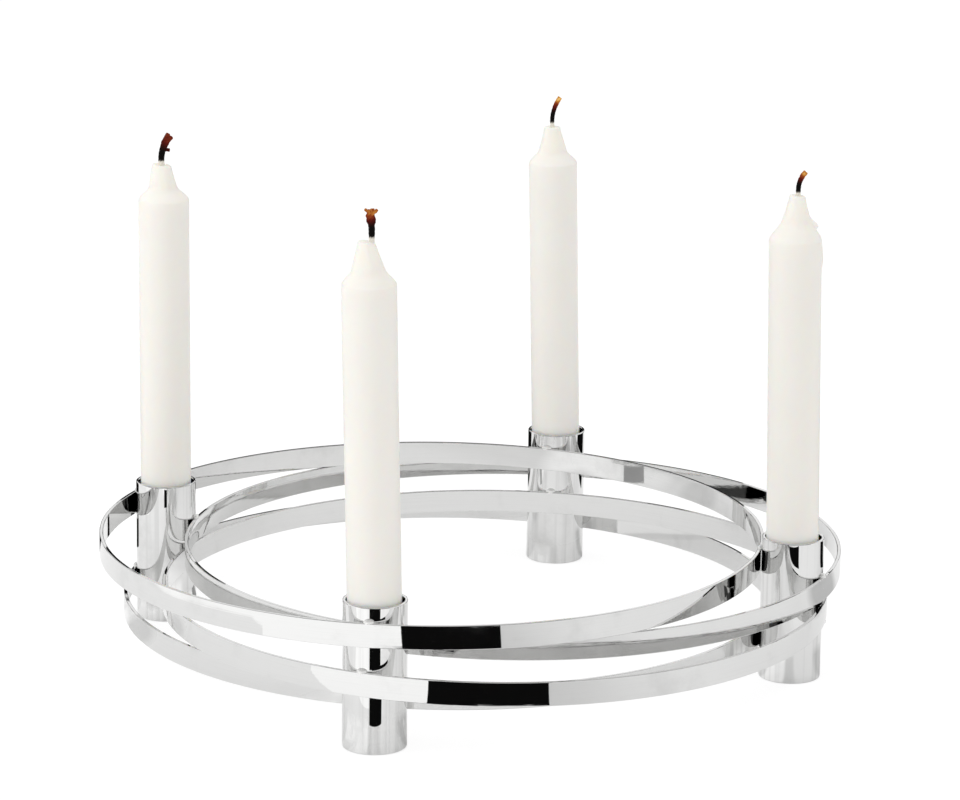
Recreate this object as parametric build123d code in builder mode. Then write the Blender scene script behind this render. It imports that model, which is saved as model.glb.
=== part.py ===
from build123d import *
import math
import os

# An advent candle holder: four upright steel tubes on a square, each with a candle in its top,
# tied together by four equal flat hoops on edge. Each hoop is set off centre on its own diagonal,
# so that it runs outside two tubes and inside the other two, at its own level.
# Millimetres, +Z up. The origin is on the table, in the middle of the holder.

# Candles
candle_diameter = 22.0  # household candle
candle_front_length = 182.0  # base to the top of the wax, for each candle
candle_right_length = 183.0
candle_back_length = 179.0
candle_left_length = 178.0
candle_front_tip = 17.0  # shoulder to the top of the wax, for each candle
candle_right_tip = 18.5
candle_back_tip = 16.5
candle_left_tip = 15.0
candle_front_lean_share = -0.5  # of the lean that the play in the socket allows, towards the wick's side
candle_right_lean_share = -0.5
candle_back_lean_share = -0.6
candle_left_lean_share = 0.0
candle_base_bevel = 0.8  # rim of the candle's foot
candle_shoulder_rise = 4.2  # height of the steep round below the taper
candle_shoulder_radius = 7.2  # wax radius where that round ends
candle_tip_radius = 3.6  # wax radius at the top
candle_taper_hollow = 0.5  # how far the taper sags below a straight cone
candle_tip_round = 1.0  # edge of the melted top

# Wicks
wick_diameter = 2.0
wick_clearance = 0.05  # wax to wick, each side
wick_stub = 2.0  # straight piece above the wax, before the bend
wick_front_reach = 10.5  # length of the bent end, for each candle
wick_right_reach = 8.5
wick_back_reach = 12.0
wick_left_reach = 11.5
wick_front_bend = 8.0  # degrees that the end turns through
wick_right_bend = 42.0
wick_back_bend = 36.0
wick_left_bend = 34.0
wick_heading = 16.0  # degrees from +X towards which the ends lean

# Candle tubes
wreath_diameter = 282.0  # across the axes of opposite tubes
tube_wall = 1.3
candle_clearance = 0.8  # candle to bore, each side
rim_reveal = 6.0  # top band to the tube's rim
tube_edge_round = 0.4

# Socket floors
socket_depth = 36.5  # rim to the face that the candle stands on
floor_thickness = 2.0
floor_clearance = 0.05  # disc to bore, each side

# Bands
band_height = 10.0
band_thickness = 1.5
band_edge_round = 0.25
foot_height = 11.4  # table to the lowest band
lower_slit = 3.4  # lowest band to the third
middle_slit = 0.5  # third band to the second
upper_slit = 0.2  # second band to the top one

# Weld beads
weld_gap = 0.2  # root gap between a tube and a band
weld_clearance = 0.03  # bead to tube and to band
weld_width = 4.6  # along the band
weld_height = 1.4  # above the band's edge, and across it

# The largest share of a wall that an edge round may take
round_limit_share = 0.45

# Tubes by name, anticlockwise from +X
tube_order = ("right", "back", "left", "front")

# Bands by name, from the table up. Each is set off halfway between the tube named here and the next.
band_leans = {"bottom": "back", "third": "front", "second": "right", "top": "left"}

# Length, tip and lean of each candle, and length and bend of each wick's free end
candle_shapes = {
    "front": (candle_front_length, candle_front_tip, candle_front_lean_share),
    "right": (candle_right_length, candle_right_tip, candle_right_lean_share),
    "back": (candle_back_length, candle_back_tip, candle_back_lean_share),
    "left": (candle_left_length, candle_left_tip, candle_left_lean_share),
}
wick_ends = {
    "front": (wick_front_reach, wick_front_bend),
    "right": (wick_right_reach, wick_right_bend),
    "back": (wick_back_reach, wick_back_bend),
    "left": (wick_left_reach, wick_left_bend),
}

# Sizes that follow
full_turn = math.degrees(2 * math.pi)
tube_step = full_turn / len(tube_order)
tube_headings = {place: index * tube_step for index, place in enumerate(tube_order)}
band_headings = {name: tube_headings[place] + tube_step / 2 for name, place in band_leans.items()}

candle_radius = candle_diameter / 2
bore_radius = candle_radius + candle_clearance
tube_radius = bore_radius + tube_wall
tube_offset = wreath_diameter / 2
wick_radius = wick_diameter / 2

bottom_level = foot_height
third_level = bottom_level + band_height + lower_slit
second_level = third_level + band_height + middle_slit
top_level = second_level + band_height + upper_slit
band_levels = {
    "bottom": bottom_level,
    "third": third_level,
    "second": second_level,
    "top": top_level,
}
tube_height = top_level + band_height + rim_reveal
floor_level = tube_height - socket_depth
lean_limit = math.atan2(2 * candle_clearance, socket_depth)

# A band passes outside one pair of tubes and inside the other, so its distances to the two kinds of
# tube differ by the tubes' width, the band's thickness and the two weld gaps. That one difference
# fixes how far the band's centre is set off and how large the band is.
tube_span = 2 * (tube_radius + weld_gap) + band_thickness
band_offset = tube_span * math.sqrt(
    (tube_offset**2 - tube_span**2 / 4) / (2 * tube_offset**2 - tube_span**2)
)
band_radius = math.sqrt(2) * tube_offset * band_offset / tube_span
band_inner_radius = band_radius - band_thickness / 2
band_outer_radius = band_radius + band_thickness / 2

tube_round = min(tube_edge_round, round_limit_share * tube_wall)
band_round = min(band_edge_round, round_limit_share * band_thickness)


def polar(radius, heading):
    """Return the point at a radius and a heading in degrees, as a vector on the table."""
    angle = math.radians(heading)
    return Vector(radius * math.cos(angle), radius * math.sin(angle))


def make_band(name):
    """Build one hoop of flat strip on edge, with softened edges."""
    with BuildPart() as band:
        with BuildSketch(Plane.XY.offset(band_levels[name])):
            with Locations(polar(band_offset, band_headings[name])):
                Circle(band_outer_radius)
                Circle(band_inner_radius, mode=Mode.SUBTRACT)
        extrude(amount=band_height)
        fillet(band.edges().filter_by(GeomType.CIRCLE), radius=band_round)
    return band.part


def make_tube(position):
    """Build one candle tube, open at both ends, with softened rims."""
    with BuildPart() as tube:
        with BuildSketch():
            with Locations(polar(tube_offset, tube_headings[position])):
                Circle(tube_radius)
                Circle(bore_radius, mode=Mode.SUBTRACT)
        extrude(amount=tube_height)
        fillet(tube.edges().filter_by(GeomType.CIRCLE), radius=tube_round)
    return tube.part


def make_floor(position):
    """Build the disc inside a tube that the candle stands on."""
    with BuildPart() as floor:
        with BuildSketch(Plane.XY.offset(floor_level)):
            with Locations(polar(tube_offset, tube_headings[position])):
                Circle(bore_radius - floor_clearance)
        extrude(amount=-floor_thickness)
    return floor.part


def runs_outside(name, position):
    """Tell whether a band passes a tube on the side away from the middle of the band."""
    tube_axis = polar(tube_offset, tube_headings[position])
    return (tube_axis - polar(band_offset, band_headings[name])).length < band_radius


def bead_on_top(name, position):
    """Tell whether a band's upper edge is free at a tube, with no band close above on that side."""
    upward = list(band_levels)[list(band_levels).index(name) + 1 :]
    return not upward or runs_outside(upward[0], position) != runs_outside(name, position)


def make_weld(position, name):
    """Build the bead on a band's edge that ties it to a tube, above the band or below it."""
    tube_axis = polar(tube_offset, tube_headings[position])
    outward = (tube_axis - polar(band_offset, band_headings[name])).normalized()
    side = 1 if runs_outside(name, position) else -1
    root = tube_axis + outward * side * (tube_radius + weld_gap)
    along = Vector(-outward.Y, outward.X)
    on_top = bead_on_top(name, position)
    edge = band_levels[name] + (band_height if on_top else 0)
    seat = edge + (weld_clearance if on_top else -weld_clearance)
    flat = Plane(origin=(root.X, root.Y, edge), x_dir=along, z_dir=(0, 0, 1))
    with BuildPart() as weld:
        with BuildSketch(flat):
            Ellipse(weld_width / 2, weld_height)
            Rectangle(weld_width, weld_height, align=(Align.CENTER, Align.MAX), mode=Mode.SUBTRACT)
        revolve(axis=Axis(flat.origin, along))
        split(bisect_by=Plane.XY.offset(seat), keep=Keep.TOP if on_top else Keep.BOTTOM)
        with BuildSketch(Plane.XY.offset(edge)):
            with Locations(tube_axis):
                Circle(tube_radius + weld_clearance)
        extrude(amount=2 * weld_height, both=True, mode=Mode.SUBTRACT)
    return weld.part


def candle_plane(position):
    """Return the plane of one candle and its wick, with the candle's axis as its y and its foot at zero.

    The axis passes the bore's middle half way up the socket, and the foot's lower rim rests on the floor.
    """
    axis_foot = polar(tube_offset, tube_headings[position])
    across = polar(1, wick_heading)
    lean = candle_shapes[position][2] * lean_limit
    up = across * math.sin(lean) + Vector(0, 0, math.cos(lean))
    sideways = across * math.cos(lean) - Vector(0, 0, math.sin(lean))
    foot_rise = (candle_radius - candle_base_bevel) * math.sin(abs(lean))
    pivot = Vector(axis_foot.X, axis_foot.Y, floor_level + socket_depth / 2)
    foot = pivot - up * ((socket_depth / 2 - foot_rise) / math.cos(lean))
    return Plane(origin=foot, x_dir=sideways, z_dir=sideways.cross(up))


def make_candle(position):
    """Build one candle: a straight stick with a steep shoulder, a hollow taper and a bore for its wick."""
    length, tip, _ = candle_shapes[position]
    upright = candle_plane(position)
    wick_bore = wick_radius + wick_clearance
    shoulder = length - tip
    taper_foot = (candle_shoulder_radius, shoulder + candle_shoulder_rise)
    taper_head = (candle_tip_radius, length - candle_tip_round)
    taper_middle = (
        (taper_foot[0] + taper_head[0]) / 2 - candle_taper_hollow,
        (taper_foot[1] + taper_head[1]) / 2,
    )
    with BuildPart() as candle:
        with BuildSketch(upright):
            with BuildLine():
                Polyline(
                    (wick_bore, 0),
                    (candle_radius - candle_base_bevel, 0),
                    (candle_radius, candle_base_bevel),
                    (candle_radius, shoulder),
                )
                EllipticalCenterArc(
                    (candle_shoulder_radius, shoulder),
                    candle_radius - candle_shoulder_radius,
                    candle_shoulder_rise,
                    start_angle=0,
                    arc_size=full_turn / 4,
                )
                ThreePointArc(taper_foot, taper_middle, taper_head)
                Polyline(
                    taper_head,
                    (candle_tip_radius - candle_tip_round, length),
                    (wick_bore, length),
                    (wick_bore, 0),
                )
            make_face()
        revolve(axis=Axis(upright.origin, upright.y_dir))
    return candle.part


def make_wick(position):
    """Build one wick: straight through its candle, then bent over above the wax."""
    length = candle_shapes[position][0]
    reach, bend = wick_ends[position]
    upright = candle_plane(position)
    with BuildPart() as wick:
        with BuildLine(upright) as route:
            straight = Line((0, 0), (0, length + wick_stub))
            JernArc(straight @ 1, straight % 1, reach / math.radians(bend), -bend)
        with BuildSketch(Plane(origin=upright.origin, x_dir=upright.x_dir, z_dir=upright.y_dir)):
            Circle(wick_radius)
        sweep(path=route.wire())
    return wick.part


def save(part, name):
    """Name a finished piece and write it to its own file."""
    part.label = name
    export_step(part, f"parts/{name}.step")


os.makedirs("parts", exist_ok=True)
for band_name in band_headings:
    save(make_band(band_name), f"band_{band_name}")
for place in tube_headings:
    save(make_tube(place), f"tube_{place}")
    save(make_floor(place), f"floor_{place}")
    save(make_candle(place), f"candle_{place}")
    save(make_wick(place), f"wick_{place}")
    for band_name in band_headings:
        save(make_weld(place, band_name), f"weld_{place}_{band_name}")
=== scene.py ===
import logging
import math
from dataclasses import dataclass, field
from enum import Enum
from functools import cache, partial
from typing import Any, Iterable, Sequence

import bpy
from mathutils import Matrix, Vector, noise


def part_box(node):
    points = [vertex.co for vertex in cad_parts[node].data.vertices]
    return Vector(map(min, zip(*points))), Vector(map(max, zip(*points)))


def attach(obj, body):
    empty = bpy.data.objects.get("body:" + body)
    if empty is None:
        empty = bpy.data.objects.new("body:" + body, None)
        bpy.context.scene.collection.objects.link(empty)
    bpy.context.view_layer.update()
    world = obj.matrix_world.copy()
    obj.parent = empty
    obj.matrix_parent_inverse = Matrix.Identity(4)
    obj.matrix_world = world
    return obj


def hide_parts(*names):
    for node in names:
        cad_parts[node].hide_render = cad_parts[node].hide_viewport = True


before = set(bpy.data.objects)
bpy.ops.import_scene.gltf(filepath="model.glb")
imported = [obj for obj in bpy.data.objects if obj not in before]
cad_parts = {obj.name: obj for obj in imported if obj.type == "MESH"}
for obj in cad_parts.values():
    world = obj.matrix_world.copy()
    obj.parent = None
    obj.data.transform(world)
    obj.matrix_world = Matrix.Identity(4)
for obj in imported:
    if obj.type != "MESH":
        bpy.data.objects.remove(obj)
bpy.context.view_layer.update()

LOG = logging.getLogger("candle_holder")

MM = 0.001
FRAME_BODY = "wreath"
# Places of the factor, the two colours and the mixed colour among a Mix node's sockets.
MIX_INPUTS = (0, 6, 7)
MIX_RESULT = 2
NOISE_MIDDLE = 0.5

Colour = tuple[float, float, float]
Material = bpy.types.Material
NodeGroup = bpy.types.NodeTree
Socket = bpy.types.NodeSocket


class Place(Enum):
    """The four sides of the holder, as the CAD nodes spell them."""

    RIGHT = "right"
    BACK = "back"
    LEFT = "left"
    FRONT = "front"

    @property
    def body(self) -> str:
        """Body that the candle on this side rides on."""
        return f"{self.value}_candle"


class Level(Enum):
    """The four hoops, from the table up."""

    BOTTOM = "bottom"
    THIRD = "third"
    SECOND = "second"
    TOP = "top"


class Slot(Enum):
    """Material slots of the record."""

    STEEL = "steel"
    WELD = "weld"
    WAX = "wax"
    WICK = "wick"


class SocketKind(Enum):
    """Socket types of the node groups."""

    GEOMETRY = "NodeSocketGeometry"
    FLOAT = "NodeSocketFloat"
    INT = "NodeSocketInt"
    VECTOR = "NodeSocketVector"
    MATERIAL = "NodeSocketMaterial"


Sockets = dict[SocketKind, tuple[str, ...]]


def share_of(value: float, start: float, length: float) -> float:
    """Return how far a value lies along a range, held between 0 and 1."""
    return min(max((value - start) / length, 0.0), 1.0)


def feed(socket: Socket, value: Any) -> None:
    """Give an input socket a plain value, or link it to the output socket that is given."""
    if isinstance(value, bpy.types.NodeSocket):
        socket.id_data.links.new(value, socket)
    else:
        socket.default_value = value


def set_inputs(node: bpy.types.Node, values: dict[str, Any]) -> None:
    """Feed a node's inputs by socket name."""
    for name, value in values.items():
        feed(next(s for s in node.inputs if s.name == name and s.enabled), value)


def add_node(
    tree: NodeGroup, kind: str, *in_order: Any, settings: dict[str, Any] | None = None, **by_name: Any
) -> bpy.types.Node:
    """Add a node to a tree.

    Args:
        tree: The shader or geometry tree.
        kind: Blender's type name of the node.
        in_order: Values or output sockets for the first inputs, in their order.
        settings: Properties of the node, set before its sockets.
        by_name: Values or output sockets by input name, with an underscore for each space.

    Returns:
        The new node.
    """
    node = tree.nodes.new(kind)
    for name, value in (settings or {}).items():
        setattr(node, name, value)
    for socket, value in zip(node.inputs, in_order):
        feed(socket, value)
    set_inputs(node, {name.replace("_", " "): value for name, value in by_name.items()})
    return node


def output_of(tree: NodeGroup, kind: str, *in_order: Any, **options: Any) -> Socket:
    """Add a node as add_node does and return its first output."""
    return add_node(tree, kind, *in_order, **options).outputs[0]


def math_node(tree: NodeGroup, operation: str, *values: Any, clamp: bool = False) -> Socket:
    """Add a Math node and return its result."""
    return output_of(tree, "ShaderNodeMath", *values, settings={"operation": operation, "use_clamp": clamp})


def vector_math(tree: NodeGroup, operation: str, *values: Any, **by_name: Any) -> Socket:
    """Add a Vector Math node and return its vector."""
    return output_of(tree, "ShaderNodeVectorMath", *values, settings={"operation": operation}, **by_name)


def mix_colour(tree: NodeGroup, factor: Any, first: Any, second: Any) -> Socket:
    """Add a colour mix.

    Args:
        tree: The shader tree.
        factor: Number or socket that runs from the first colour to the second.
        first: RGBA colour or socket.
        second: RGBA colour or socket.

    Returns:
        The mixed colour.
    """
    node = add_node(tree, "ShaderNodeMix", settings={"data_type": "RGBA"})
    for index, value in zip(MIX_INPUTS, (factor, first, second)):
        feed(node.inputs[index], value)
    return node.outputs[MIX_RESULT]


def map_range(
    tree: NodeGroup,
    value: Socket,
    source: tuple[float, float] = (0.0, 1.0),
    target: tuple[Any, Any] = (0.0, 1.0),
    smooth: bool = False,
) -> Socket:
    """Add a Map Range node.

    Args:
        tree: The tree to add to.
        value: Socket to map.
        source: Ends of the range that the value comes from.
        target: Numbers or sockets that those ends become.
        smooth: Whether the steps ease in and out.

    Returns:
        The mapped value.
    """
    return output_of(
        tree, "ShaderNodeMapRange", settings={"interpolation_type": "SMOOTHSTEP" if smooth else "LINEAR"},
        Value=value, From_Min=source[0], From_Max=source[1], To_Min=target[0], To_Max=target[1],
    )


def bump(tree: NodeGroup, height: Socket, distance: float, strength: float = 1.0, **under: Socket) -> Socket:
    """Add a Bump node and return its normal."""
    return output_of(tree, "ShaderNodeBump", Strength=strength, Distance=distance, Height=height, **under)


def rgba(colour: Colour) -> tuple[float, float, float, float]:
    """Return a colour with full alpha."""
    return (*colour, 1.0)


def grey(level: float) -> tuple[float, float, float, float]:
    """Return a grey with full alpha."""
    return rgba((level, level, level))


def colour_ramp(tree: NodeGroup, factor: Socket, stops: Sequence[tuple[float, Colour]]) -> Socket:
    """Add a colour ramp.

    Args:
        tree: The shader tree.
        factor: Socket that drives the ramp.
        stops: Positions and colours, from left to right.

    Returns:
        The ramp's colour.
    """
    node = add_node(tree, "ShaderNodeValToRGB", factor)
    elements = node.color_ramp.elements
    while len(elements) < len(stops):
        elements.new(1.0)
    for element, (position, colour) in zip(elements, stops):
        element.position = position
        element.color = rgba(colour)
    return node.outputs[0]


class GroupInterface:
    """A node group under construction, with its named sockets."""

    def __init__(self, name: str, kind: str, inputs: Sockets, outputs: Sockets) -> None:
        """Create the group and its sockets.

        Args:
            name: Name of the group.
            kind: "ShaderNodeTree" or "GeometryNodeTree".
            inputs: Names of the inputs, by socket type.
            outputs: Names of the outputs, by socket type.
        """
        self.tree = bpy.data.node_groups.new(name, kind)
        for side, sockets in (("INPUT", inputs), ("OUTPUT", outputs)):
            for socket_kind, names in sockets.items():
                for socket_name in names:
                    self.tree.interface.new_socket(
                        name=socket_name, in_out=side, socket_type=socket_kind.value
                    )
        self.given = self.tree.nodes.new("NodeGroupInput").outputs
        self.result = self.tree.nodes.new("NodeGroupOutput").inputs

    def put_out(self, name: str, socket: Socket) -> None:
        """Link a socket to the group's named output."""
        feed(self.result[name], socket)


class PieceTree(GroupInterface):
    """A geometry group that makes a piece from its inputs and gives it a finish."""

    def __init__(self, name: str, inputs: Sockets) -> None:
        """Create the group with the given inputs, a geometry and a finish."""
        shape = {SocketKind.GEOMETRY: ("Geometry",)}
        finish = {SocketKind.MATERIAL: ("Finish",)}
        super().__init__(name, "GeometryNodeTree", {**shape, **inputs, **finish}, shape)

    def close(self, geometry: Socket) -> NodeGroup:
        """Realise the geometry, set its finish, put it out and return the tree."""
        realised = output_of(self.tree, "GeometryNodeRealizeInstances", Geometry=geometry)
        dressed = output_of(
            self.tree, "GeometryNodeSetMaterial", Geometry=realised, Material=self.given["Finish"]
        )
        self.put_out("Geometry", dressed)
        return self.tree


def store(tree: NodeGroup, geometry: Socket, name: str, value: Socket, domain: str = "POINT") -> Socket:
    """Store a number on a geometry under a name and return the geometry."""
    return output_of(
        tree, "GeometryNodeStoreNamedAttribute", settings={"data_type": "FLOAT", "domain": domain},
        Geometry=geometry, Name=name, Value=value,
    )


def stored(tree: NodeGroup, name: str) -> Socket:
    """Return a number that is stored on a geometry."""
    return output_of(tree, "GeometryNodeInputNamedAttribute", settings={"data_type": "FLOAT"}, Name=name)


@cache
def polish_group() -> NodeGroup:
    """Build the shader group of fine polishing lines, a ripple and faint smudges, once."""
    smudge_scale, smudge_range = 38.0, (0.52, 0.74)
    group = GroupInterface(
        "polish_and_smudges",
        "ShaderNodeTree",
        {
            SocketKind.VECTOR: ("Vector", "Grain"),
            SocketKind.FLOAT: ("Line Scale", "Ripple Scale", "Clean Roughness", "Smudged Roughness"),
        },
        {SocketKind.FLOAT: ("Roughness", "Lines", "Ripple", "Smudge")},
    )
    tree, given = group.tree, group.given
    texture = partial(output_of, tree, "ShaderNodeTexNoise")
    along = vector_math(tree, "MULTIPLY", given["Vector"], given["Grain"])
    patches = texture(Vector=given["Vector"], Scale=smudge_scale, Detail=5.0, Roughness=0.62)
    smudge = map_range(tree, patches, smudge_range, smooth=True)
    ends = (given["Clean Roughness"], given["Smudged Roughness"])
    group.put_out("Roughness", map_range(tree, smudge, target=ends))
    group.put_out("Lines", texture(Vector=along, Scale=given["Line Scale"], Detail=2.0))
    group.put_out("Ripple", texture(Vector=given["Vector"], Scale=given["Ripple Scale"], Detail=1.0))
    group.put_out("Smudge", smudge)
    return tree


@cache
def mottle_group() -> NodeGroup:
    """Build the shader group of cloudy tone and fine pitting, once."""
    group = GroupInterface(
        "cloud_and_pits",
        "ShaderNodeTree",
        {SocketKind.VECTOR: ("Vector",), SocketKind.FLOAT: ("Cloud Scale", "Pit Scale")},
        {SocketKind.FLOAT: ("Cloud", "Pits")},
    )
    tree, given = group.tree, group.given
    texture = partial(output_of, tree, "ShaderNodeTexNoise", Vector=given["Vector"])
    group.put_out("Cloud", texture(Scale=given["Cloud Scale"], Detail=3.0))
    group.put_out("Pits", texture(Scale=given["Pit Scale"], Detail=4.0, Roughness=0.7))
    return tree


def bare_material(name: str) -> tuple[Material, NodeGroup]:
    """Create a node material without nodes and return it with its tree."""
    material = bpy.data.materials.new(name)
    material.use_nodes = True
    material.node_tree.nodes.clear()
    return material, material.node_tree


def show(tree: NodeGroup, surface: Socket) -> None:
    """Link a shader to a material's output."""
    add_node(tree, "ShaderNodeOutputMaterial", surface)


def surface_material(name: str) -> tuple[Material, NodeGroup, bpy.types.Node]:
    """Create a material with a plain Principled shader and return it with its tree and shader."""
    material, tree = bare_material(name)
    shader = add_node(tree, "ShaderNodeBsdfPrincipled")
    show(tree, shader.outputs[0])
    return material, tree, shader


def object_coordinates(tree: NodeGroup) -> Socket:
    """Return the Object coordinates of a material."""
    return tree.nodes.new("ShaderNodeTexCoord").outputs["Object"]


def attribute(tree: NodeGroup, name: str) -> Socket:
    """Return the value of a mesh attribute in a material."""
    return add_node(tree, "ShaderNodeAttribute", settings={"attribute_name": name}).outputs["Fac"]


def use_group(tree: NodeGroup, group: NodeGroup, **values: Any) -> Any:
    """Place a shader group in a material, fill its inputs and return its outputs."""
    return add_node(tree, "ShaderNodeGroup", settings={"node_tree": group}, **values).outputs


@dataclass(frozen=True)
class PolishedSteel:
    """Mirror-polished stainless steel with polishing lines along its grain and a faint ripple."""

    name: str
    grain: tuple[float, float, float]
    line_scale: float
    line_tone: Colour
    ripple_depth: float
    ripple_scale: float = 45.0
    tone: Colour = (0.745, 0.745, 0.74)
    smudge_tone: Colour = (0.67, 0.67, 0.665)
    clean_roughness: float = 0.018
    smudged_roughness: float = 0.05
    line_depth: float = 0.0024 * MM
    streak_range: tuple[float, float] = (0.46, 0.68)

    def material(self) -> Material:
        """Build the material."""
        material, tree, shader = surface_material(self.name)
        polish = use_group(
            tree, polish_group(), Vector=object_coordinates(tree), Grain=self.grain,
            Line_Scale=self.line_scale, Ripple_Scale=self.ripple_scale,
            Clean_Roughness=self.clean_roughness, Smudged_Roughness=self.smudged_roughness,
        )
        waves = bump(tree, polish["Ripple"], self.ripple_depth)
        streak = map_range(tree, polish["Lines"], self.streak_range, smooth=True)
        streaked = mix_colour(tree, streak, rgba(self.tone), rgba(self.line_tone))
        set_inputs(
            shader,
            {
                "Base Color": mix_colour(tree, polish["Smudge"], streaked, rgba(self.smudge_tone)),
                "Metallic": 1.0,
                "Roughness": polish["Roughness"],
                "Normal": bump(tree, polish["Lines"], self.line_depth, Normal=waves),
            },
        )
        return material


ROLLED_STEEL = PolishedSteel(
    "rolled_steel", grain=(0.012, 0.012, 1.0), line_scale=2600.0, line_tone=(0.73, 0.73, 0.725),
    ripple_depth=0.045 * MM,
)
DRAWN_STEEL = PolishedSteel(
    "drawn_steel", grain=(1.0, 1.0, 0.012), line_scale=420.0, line_tone=(0.695, 0.695, 0.69),
    ripple_depth=0.03 * MM, tone=(0.785, 0.785, 0.78),
)


@dataclass(frozen=True)
class WeldMetal:
    """Weld metal, brushed bright, with a little heat tint left in it."""

    name: str = "weld_metal"
    tone: Colour = (0.95, 0.95, 0.94)
    tint: Colour = (0.86, 0.855, 0.84)
    tint_scale: float = 420.0
    metal: float = 0.55
    clean_roughness: float = 0.24
    smudged_roughness: float = 0.4
    ripple_scale: float = 1400.0
    ripple_strength: float = 0.25
    ripple_depth: float = 0.15 * MM

    def material(self) -> Material:
        """Build the material."""
        material, tree, shader = surface_material(self.name)
        where = object_coordinates(tree)
        mottle = use_group(
            tree, mottle_group(), Vector=where, Cloud_Scale=self.tint_scale, Pit_Scale=self.ripple_scale
        )
        polish = use_group(
            tree, polish_group(), Vector=where,
            Clean_Roughness=self.clean_roughness, Smudged_Roughness=self.smudged_roughness,
        )
        set_inputs(
            shader,
            {
                "Base Color": mix_colour(tree, mottle["Cloud"], rgba(self.tone), rgba(self.tint)),
                "Metallic": self.metal,
                "Roughness": polish["Roughness"],
                "Normal": bump(tree, mottle["Pits"], self.ripple_depth, self.ripple_strength),
            },
        )
        return material


@dataclass(frozen=True)
class CandleWax:
    """Ivory candle wax, a little see-through, warmer at its softened tip."""

    name: str = "candle_wax"
    tone: Colour = (0.925, 0.905, 0.86)
    cloud_tone: Colour = (0.905, 0.88, 0.825)
    cloud_scale: float = 55.0
    melt_tone: Colour = (0.93, 0.895, 0.83)
    roughness: tuple[float, float] = (0.34, 0.5)
    pit_scale: float = 1100.0
    pit_strength: float = 0.08
    pit_depth: float = 0.1 * MM
    refraction: float = 1.44
    scatter: float = 0.6
    scatter_radius: Colour = (1.0, 0.72, 0.5)
    scatter_scale: float = 6.0 * MM

    def material(self) -> Material:
        """Build the material."""
        material, tree, shader = surface_material(self.name)
        mottle = use_group(
            tree, mottle_group(), Vector=object_coordinates(tree),
            Cloud_Scale=self.cloud_scale, Pit_Scale=self.pit_scale,
        )
        body = mix_colour(tree, mottle["Cloud"], rgba(self.tone), rgba(self.cloud_tone))
        set_inputs(
            shader,
            {
                "Base Color": mix_colour(tree, attribute(tree, "melt"), body, rgba(self.melt_tone)),
                "Roughness": map_range(tree, mottle["Cloud"], target=self.roughness),
                "IOR": self.refraction,
                "Subsurface Weight": self.scatter,
                "Subsurface Radius": self.scatter_radius,
                "Subsurface Scale": self.scatter_scale,
                "Normal": bump(tree, mottle["Pits"], self.pit_depth, self.pit_strength),
            },
        )
        return material


@dataclass(frozen=True)
class CharredCotton:
    """Cotton wick: waxed and pale at its foot, charred above, with an ember at its end."""

    name: str = "charred_cotton"
    pale: Colour = (0.82, 0.78, 0.70)
    char: Colour = (0.002, 0.002, 0.002)
    ash: Colour = (0.008, 0.006, 0.005)
    ash_scale: float = 700.0
    fibre_scale: float = 2600.0
    fibre_strength: float = 0.6
    fibre_depth: float = 0.15 * MM
    roughness: float = 0.9
    gloss: float = 0.08
    flicker_from: tuple[float, float] = (0.3, 0.7)
    flicker_to: tuple[float, float] = (0.75, 1.1)
    ember_stops: tuple[tuple[float, Colour], ...] = (
        (0.0, (0.0, 0.0, 0.0)),
        (0.35, (0.10, 0.006, 0.003)),
        (0.62, (0.26, 0.045, 0.008)),
        (0.85, (0.55, 0.22, 0.035)),
        (1.0, (0.85, 0.52, 0.16)),
    )

    def material(self) -> Material:
        """Build the material."""
        material, tree, shader = surface_material(self.name)
        mottle = use_group(
            tree, mottle_group(), Vector=object_coordinates(tree),
            Cloud_Scale=self.ash_scale, Pit_Scale=self.fibre_scale,
        )
        burnt = mix_colour(tree, mottle["Cloud"], rgba(self.char), rgba(self.ash))
        flicker = map_range(tree, mottle["Cloud"], self.flicker_from, self.flicker_to)
        glow = math_node(tree, "MULTIPLY", attribute(tree, "ember"), flicker)
        set_inputs(
            shader,
            {
                "Base Color": mix_colour(tree, attribute(tree, "burnt"), rgba(self.pale), burnt),
                "Roughness": self.roughness,
                "Specular IOR Level": self.gloss,
                "Emission Color": colour_ramp(tree, glow, self.ember_stops),
                "Emission Strength": 1.0,
                "Normal": bump(tree, mottle["Pits"], self.fibre_depth, self.fibre_strength),
            },
        )
        return material


def add_object(name: str, data: bpy.types.ID) -> bpy.types.Object:
    """Create an object at the origin and put it in the scene."""
    thing = bpy.data.objects.new(name, data)
    bpy.context.scene.collection.objects.link(thing)
    return thing


def new_mesh(
    name: str, points: Sequence[Any], faces: Sequence[tuple[int, ...]], *materials: Material
) -> bpy.types.Mesh:
    """Create a mesh from points and faces, with any materials.

    Args:
        name: Name of the mesh.
        points: Places of the points, in metres.
        faces: Indices of each face's points.
        materials: Materials of the mesh.

    Returns:
        The new mesh.
    """
    mesh = bpy.data.meshes.new(name)
    mesh.from_pydata(points, [], faces)
    for material in materials:
        mesh.materials.append(material)
    return mesh


def store_values(mesh: bpy.types.Mesh, name: str, values: Sequence[float]) -> None:
    """Store a number on every point of a mesh under a name."""
    mesh.attributes.new(name, "FLOAT", "POINT").data.foreach_set("value", values)


def ring_faces(rings: int, sides: int) -> list[tuple[int, ...]]:
    """Return the faces between closed rings of points that are numbered ring by ring."""
    faces: list[tuple[int, ...]] = []
    for here in range(0, (rings - 1) * sides, sides):
        after = here + sides
        for side in range(sides):
            following = (side + 1) % sides
            faces.append((here + side, here + following, after + following, after + side))
    return faces


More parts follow.
